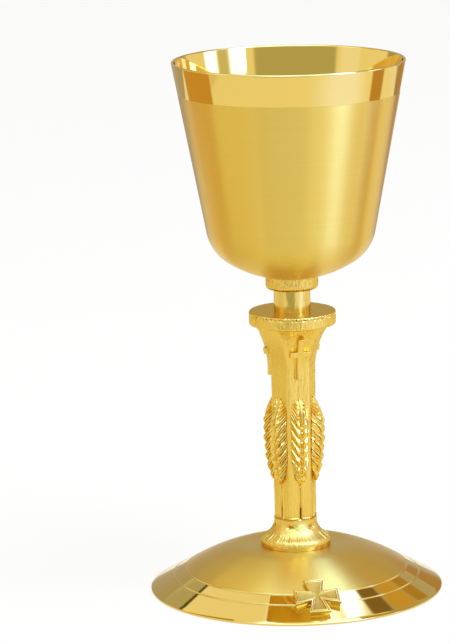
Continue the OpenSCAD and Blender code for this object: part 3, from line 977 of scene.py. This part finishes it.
def makeBaseCross(s):
    radius = baseRim - s["inset"]
    clearSelection()
    bpy.ops.mesh.primitive_plane_add(size=s["root"] * mm)
    cross = nameActive("base_cross_cut")
    armLength = s["reach"] - s["root"] / 2
    flare = s["end"] / s["root"]
    editMesh()
    bpy.ops.mesh.select_mode(type='EDGE')
    for quarter in range(4):
        turn = pi / 2 * quarter
        way = Vector((round(sin(turn)), round(cos(turn)), 0))
        closeMesh()
        mesh = cross.data
        for item in list(mesh.vertices) + list(mesh.edges) + list(mesh.polygons):
            item.select = False
        for edge in mesh.edges:
            middle = (mesh.vertices[edge.vertices[0]].co + mesh.vertices[edge.vertices[1]].co) / 2
            edge.select = (middle - way * s["root"] / 2 * mm).length < 0.01 * mm
        editMesh()
        bpy.ops.mesh.extrude_edges_move(TRANSFORM_OT_translate={"value": way * armLength * mm})
        spread = (flare if way.x == 0 else 1, flare if way.y == 0 else 1, 1)
        bpy.ops.transform.resize(value=spread, center_override=way * s["reach"] * mm)
    bpy.ops.mesh.select_mode(type='FACE')
    pickAll()
    bpy.ops.mesh.normals_make_consistent(inside=False)

    def rise(height):
        bpy.ops.mesh.extrude_region_move(TRANSFORM_OT_translate={"value": (0, 0, height * mm)})

    def draw(width, depth=0.0):
        bpy.ops.mesh.inset(thickness=width * mm, depth=depth * mm, use_even_offset=True)

    half = s["height"] / 2
    rise(half)
    for width, depth in s["border"]:
        draw(width, depth)
    pickFaces(cross, lambda middle, normal: normal.z < -0.9)
    draw(s["step"])
    rise(-half - s["sunk"])
    pickAll()
    bpy.ops.transform.translate(value=(0, 0, half * mm))
    bpy.ops.mesh.normals_make_consistent(inside=False)
    closeMesh()
    bevel(cross, s["soft"], 2, 30)
    lean = radians(baseSettings["bandSlope"])
    facing = Vector((0, -sin(lean), cos(lean)))
    foot = Vector((0, -radius, bandHeight(radius)))
    cross.rotation_euler.x = lean
    cross.location = foot * mm
    settle(cross)
    smooth(cross, 35)
    floor = s["height"] + sum(depth for _, depth in s["border"])

    def sunkField(middle, normal):
        return normal.dot(facing) > 0.9 and (middle - foot).dot(facing) < floor + 0.1

    paint(cross, polishedGold, (fieldGold, sunkField))
    seat(cross, "chalice", "polished_gold", "base_cross")


makeBaseCross(baseCrossSettings)
print("base cross cut")


# tie rod, washer and nut under the base

rodSettings = dict(pitch=1.0, threadDepth=0.5, threadLength=17, threadRing=0.12, threadFade=1.5,
                   chamfer=0.7, steps=72)
washerSettings = dict(soft=0.3, steps=128)
# chamfer of the nut: its face is set in, and the cone runs out past the corners; mouth is the countersink
nutSettings = dict(faceInset=0.15, past=0.3, pastRise=0.27, coneAngle=30, threadPlay=0.05, mouth=1.4,
                   mouthDeep=0.45, over=1, soft=0.06, steps=96)


def makeRod(s):
    low, high = cadCorners("tie_rod")
    reach = high.x
    chamferTop = low.z + s["chamfer"]
    threadTop = low.z + s["threadLength"]
    rings = int(s["threadLength"] / s["threadRing"])
    outline = ([(0, low.z)] + linePoints((reach - s["chamfer"], low.z), (reach - 0.05, chamferTop), 5)
               + linePoints((reach, chamferTop + 0.1), (reach, threadTop), rings)
               + linePoints((reach, threadTop + 1), (reach, high.z), 6) + [(0, high.z)])
    rod = turned("rod_threaded", outline, s["steps"])

    def threaded(point, normal):
        if point.z > threadTop or abs(normal.z) > 0.9 or reachOf(point) < 1:
            return 0
        turn = (point.z / s["pitch"] - atan2(point.y, point.x) / tau) % 1
        share = ramp(threadTop - point.z, 0, s["threadFade"])
        return -s["threadDepth"] * share * clamp(1.25 * abs(2 * turn - 1) - 0.12, 0)

    tool(rod, threaded)
    smooth(rod, 40)
    paint(rod, plainBrass)
    seat(rod, "chalice", "plain_brass", "tie_rod")


def makeWasher(s):
    low, high = cadCorners("base_washer")
    soft = s["soft"]
    rim = high.x - soft
    outline = ([(rodBore, low.z + soft)] + linePoints((rodBore + soft, low.z), (rim, low.z), 10)
               + arcPoints((rim, low.z + soft), soft, -90, 0, 4)
               + arcPoints((rim, high.z - soft), soft, 0, 90, 4)
               + [(rodBore, high.z), (rodBore, low.z + soft)])
    washer = turned("washer_turned", outline, s["steps"])
    smooth(washer, 35)
    paint(washer, plainBrass)
    seat(washer, "washer", "plain_brass", "base_washer")


def cutWith(piece, operation, cutter):
    dress(piece, 'BOOLEAN', operation=operation, object=cutter, solver='EXACT')
    bpy.data.objects.remove(cutter)


def makeNut(s):
    low, high = cadCorners("base_nut")
    across = (high.y - low.y) / 2
    corner = across / cos(pi / 6)
    clearSelection()
    bpy.ops.mesh.primitive_cylinder_add(vertices=6, radius=corner * mm, depth=(high.z - low.z) * mm,
                                        location=(0, 0, (high.z + low.z) / 2 * mm),
                                        rotation=(0, 0, pi / 6))
    nut = settle(nameActive("nut_hex"))
    face = across - s["faceInset"]
    past = corner + s["past"]
    rise = (corner - across) * tan(radians(s["coneAngle"])) + s["pastRise"]
    # both cutters run on past the nut's ends: a face lying in an end face would cut differently each run
    start = low.z - s["over"]
    end = high.z + s["over"]
    tip = face - s["over"] * (past - face) / rise
    lathe = turned("nutChamfer", [(0, start), (tip, start), (past, low.z + rise), (past, high.z - rise),
                                  (tip, end), (0, end)], s["steps"])
    cutWith(nut, 'INTERSECT', lathe)
    threadBore = rodReach + s["threadPlay"]
    mouth = threadBore + s["mouth"]
    drill = turned("nutDrill", [(0, start), (mouth, start), (threadBore, low.z + s["mouthDeep"]),
                                (threadBore, high.z - s["mouthDeep"]), (mouth, end), (0, end)], s["steps"])
    cutWith(nut, 'DIFFERENCE', drill)
    bevel(nut, s["soft"], 2, 40)
    smooth(nut, 30)
    paint(nut, plainBrass)
    seat(nut, "nut", "plain_brass", "base_nut")


makeRod(rodSettings)
makeWasher(washerSettings)
makeNut(nutSettings)
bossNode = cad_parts["cup_boss"]
for slot in bossNode.material_slots:
    slot.material = plainBrass
print("fixings made")


# stage: pale floor, white surround and reflector cards

stageSettings = dict(floor=6.0, floorGlow=0.8, floorTone=(0.93, 0.92, 0.9, 1), worldLight=0.75,
                     cardLift=0.002, sharpEdge=0.001,
                     lamp=dict(azimuth=60, elevation=60, distance=2.2, size=1.4, power=26))
# azimuth is measured to the right from the camera, angles are in degrees and sizes in metres
# tone is what a mirror sees: bluer than white, where gold has to show a white light
# a card stands up (low, high), lies on the floor (near, far) or hangs overhead (elevation)
cardDefaults = dict(distance=0.6, lift=0.0, edge=0.15)
cards = dict(
    frontCard=dict(azimuth=-9, spread=47.5, distance=0.5, low=0.26, high=0.42,
                   tone=(0.54, 0.545, 0.46), edge=0.08),
    frontMid=dict(azimuth=-9, spread=47.5, distance=0.5, low=0.12, high=0.26,
                  tone=(0.88, 1.0, 1.7), edge=0.08),
    frontFoot=dict(azimuth=-8, spread=29, distance=0.5, low=0.0, high=0.12,
                   tone=(0.4, 0.43, 0.33), edge=0.08),
    rightWindow=dict(azimuth=56, spread=11, low=0.36, high=1.0, tone=(3.5, 7.2, 28.0)),
    midNear=dict(azimuth=57, spread=10, low=0.2, high=0.36, tone=(1.4, 2.0, 6.5)),
    midGap=dict(azimuth=73.5, spread=6.5, distance=0.62, low=0.2, high=0.36, tone=(0.71, 0.74, 0.74)),
    midFar=dict(azimuth=90, spread=10, low=0.2, high=0.5, tone=(1.6, 2.2, 7.0)),
    rightSheen=dict(azimuth=57, spread=30, near=0.2, far=0.9, tone=(1.13, 1.28, 2.25), edge=0.4),
    neckGlow=dict(azimuth=64, spread=16, near=0.585, far=0.72, lift=0.002, tone=(1.35, 2.0, 6.0)),
    rightShade=dict(azimuth=105, spread=24, near=0.12, far=0.4, lift=0.004, tone=(0.8, 0.75, 0.55)),
    leftShade=dict(azimuth=-92, spread=34, near=0.1, far=0.4, lift=0.004, tone=(0.8, 0.75, 0.55)),
    rightAmber=dict(azimuth=95, spread=9.7, distance=0.3, low=0.085, high=0.2, tone=(0.6, 0.36, 0.12)),
    leftFill=dict(azimuth=-72, spread=14, low=0.2, high=0.42, tone=(1.05, 1.1, 1.45)),
    leftGlow=dict(azimuth=-77, spread=14, low=0.42, high=1.0, tone=(1.5, 1.65, 2.2)),
    leftHigh=dict(azimuth=-112, spread=17, low=0.42, high=1.3, tone=(0.55, 0.4, 0.18)),
    rightHigh=dict(azimuth=114, spread=17, low=0.42, high=1.3, tone=(0.55, 0.4, 0.18)),
    leftLow=dict(azimuth=-74, spread=24, distance=0.55, low=0.0, high=0.15, tone=(0.85, 0.82, 0.68)),
    leftAmber=dict(azimuth=-103, spread=20.5, distance=0.3, low=0.085, high=0.2,
                   tone=(0.68, 0.4, 0.12), edge=0.05),
    cupRight=dict(azimuth=148, spread=14, low=0.05, high=0.2, tone=(0.48, 0.3, 0.12)),
    cupLeft=dict(azimuth=-150, spread=27, low=0.05, high=0.3, tone=(0.49, 0.45, 0.39)),
    backLow=dict(azimuth=180, spread=56, low=0.0, high=0.05, tone=(0.52, 0.5, 0.44)),
    backWall=dict(azimuth=165.5, spread=42, distance=2.0, low=0.1, high=2.9, tone=(0.52, 0.5, 0.44)),
    backLeft=dict(azimuth=-140, spread=17.5, distance=2.0, low=0.1, high=1.7, tone=(0.52, 0.52, 0.46)),
    overhead=dict(azimuth=60, spread=26, distance=1.3, elevation=82, tone=(1.5, 2.2, 5.0)),
    frontTop=dict(azimuth=12, spread=35, distance=1.3, elevation=61, tone=(1.6, 2.5, 5.6)),
    backLamp=dict(azimuth=151, spread=6.5, distance=1.5, elevation=60, tone=(1.9, 3.4, 11.0)),
    backBrown=dict(azimuth=142.5, spread=5, distance=1.45, elevation=52.5, tone=(0.25, 0.17, 0.07)),
    backAmber=dict(azimuth=146, spread=6.5, distance=1.5, elevation=41.5, tone=(0.66, 0.44, 0.12)),
    backOrange=dict(azimuth=150.5, spread=4.5, distance=1.4, elevation=31.5, tone=(0.5, 0.3, 0.07)),
    sideDark=dict(azimuth=-145, spread=10, distance=1.9, low=1.5, high=1.6, tone=(0.12, 0.11, 0.06)),
)


def aroundCamera(azimuth):
    turn = radians(cameraSettings["azimuth"])
    front = Vector((sin(turn), -cos(turn), 0))
    right = Vector((cos(turn), sin(turn), 0))
    angle = radians(azimuth)
    return front * cos(angle) + right * sin(angle)


def makeSoftEdge():
    # 1 in the middle of a card, falling off to 0 at its edges
    group, source, sink = newGroup(
        "softEdge", [("Vector", 'NodeSocketVector', None), ("X Edge", 'NodeSocketFloat', 0.1),
                     ("Y Edge", 'NodeSocketFloat', 0.1)], ["Mask"])
    parts = addNode(group, 'ShaderNodeSeparateXYZ')
    wire(source, 'Vector', parts, 0)
    both = addNode(group, 'ShaderNodeMath', operation='MULTIPLY')
    for index, axis in enumerate("XY"):
        off = preset(addNode(group, 'ShaderNodeMath', operation='PINGPONG'), {1: 0.5})
        wire(parts, axis, off, 0)
        fade = addNode(group, 'ShaderNodeMapRange', interpolation_type='SMOOTHSTEP')
        preset(fade, {'From Min': 0})
        wire(source, axis + " Edge", fade, 'From Max')
        wire(off, 0, fade, 'Value')
        wire(fade, 0, both, index)
    wire(both, 0, sink, 'Mask')
    return group


softEdge = makeSoftEdge()


def mixShaders(tree, share, output, first, second):
    mixed = addNode(tree, 'ShaderNodeMixShader')
    wire(share, output, mixed, 0)
    wire(first, 0, mixed, 1)
    wire(second, 0, mixed, 2)
    return mixed


def glow(name, tone, edges):
    material, tree = newMaterial(name)
    tree.nodes.clear()
    light = preset(addNode(tree, 'ShaderNodeEmission'), {'Color': (*tone, 1)})
    clear = addNode(tree, 'ShaderNodeBsdfTransparent')
    place = addNode(tree, 'ShaderNodeTexCoord')
    edge = addNode(tree, 'ShaderNodeGroup', node_tree=softEdge)
    preset(edge, {'X Edge': edges[0], 'Y Edge': edges[1]})
    wire(place, 'UV', edge, 'Vector')
    mixed = mixShaders(tree, edge, 'Mask', clear, light)
    out = addNode(tree, 'ShaderNodeOutputMaterial')
    wire(mixed, 0, out, 'Surface')
    return material


def makeCard(name, settings):
    # only reflections see a card: it gives no light and no shadow
    c = {**cardDefaults, **settings}
    way = aroundCamera(c["azimuth"])
    upright = Vector((0, 0, 1))
    flare = 2 * tan(radians(c["spread"]))
    distance = c["distance"]
    ends = cardDefaults["edge"]
    if "elevation" in c:
        high = radians(c["elevation"])
        place = (way * cos(high) + upright * sin(high)) * distance
        facing = place.to_track_quat('Z', 'Y').to_euler()
        height = distance * flare
    elif "near" in c:
        distance = (c["near"] + c["far"]) / 2
        place = way * distance + upright * (stageSettings["cardLift"] + c["lift"])
        facing = (0, 0, atan2(-way.x, way.y))
        height = c["far"] - c["near"]
    else:
        place = way * distance + upright * (c["low"] + c["high"]) / 2
        facing = way.to_track_quat('Z', 'Y').to_euler()
        height = c["high"] - c["low"]
        ends = stageSettings["sharpEdge"]
    clearSelection()
    bpy.ops.mesh.primitive_plane_add(size=1, location=place, rotation=facing)
    card = nameActive(name)
    card.scale = (distance * flare, height, 1)
    settle(card)
    card.data.materials.append(glow(name, c["tone"], (c["edge"], ends)))
    for ray in ("camera", "diffuse", "transmission", "volume_scatter", "shadow"):
        setattr(card, "visible_" + ray, False)


def seenDirectly(tree):
    # 1 for rays from the camera, for reflections and for rays through clear stuff
    path = addNode(tree, 'ShaderNodeLightPath')
    first = addNode(tree, 'ShaderNodeMath', operation='MAXIMUM')
    second = addNode(tree, 'ShaderNodeMath', operation='MAXIMUM')
    wire(path, 'Is Camera Ray', first, 0)
    wire(path, 'Is Glossy Ray', first, 1)
    wire(first, 0, second, 0)
    wire(path, 'Is Transmission Ray', second, 1)
    return second


def makeSurround(s):
    world = bpy.data.worlds.new("studio")
    bpy.context.scene.world = world
    world.use_nodes = True
    tree = world.node_tree
    backdrop = preset(tree.nodes["Background"], {'Color': whiteTone})
    strength = preset(addNode(tree, 'ShaderNodeMapRange'), {'To Min': s["worldLight"], 'To Max': 1})
    wire(seenDirectly(tree), 0, strength, 'Value')
    wire(strength, 0, backdrop, 'Strength')


def makeFloor(s):
    clearSelection()
    bpy.ops.mesh.primitive_plane_add(size=s["floor"])
    floor = nameActive("floor")
    paper, tree = newMaterial("floorPaper")
    matt = tree.nodes["Principled BSDF"]
    preset(matt, {'Base Color': s["floorTone"], 'Roughness': 0.9, 'Specular IOR Level': 0.1})
    bright = addNode(tree, 'ShaderNodeEmission')
    share = preset(addNode(tree, 'ShaderNodeMath', operation='MULTIPLY'), {1: s["floorGlow"]})
    wire(seenDirectly(tree), 0, share, 0)
    mixed = mixShaders(tree, share, 0, matt, bright)
    # from below the floor is clear, so that the underside can be looked at
    side = addNode(tree, 'ShaderNodeNewGeometry')
    clear = addNode(tree, 'ShaderNodeBsdfTransparent')
    oneSided = mixShaders(tree, side, 'Backfacing', mixed, clear)
    wire(oneSided, 0, tree.nodes["Material Output"], 'Surface')
    floor.data.materials.append(paper)


def makeLamp(lamp):
    high = radians(lamp["elevation"])
    way = aroundCamera(lamp["azimuth"]) * cos(high) + Vector((0, 0, sin(high)))
    place = way * lamp["distance"]
    bpy.ops.object.light_add(type='AREA', location=place, rotation=place.to_track_quat('Z', 'Y').to_euler())
    light = bpy.context.object
    light.name = "softLamp"
    light.data.size = lamp["size"]
    light.data.energy = lamp["power"]
    light.visible_glossy = False


makeSurround(stageSettings)
makeFloor(stageSettings)
makeLamp(stageSettings["lamp"])
bpy.context.scene.view_settings.view_transform = 'Standard'
for name, settings in cards.items():
    makeCard(name, settings)
print("stage set")
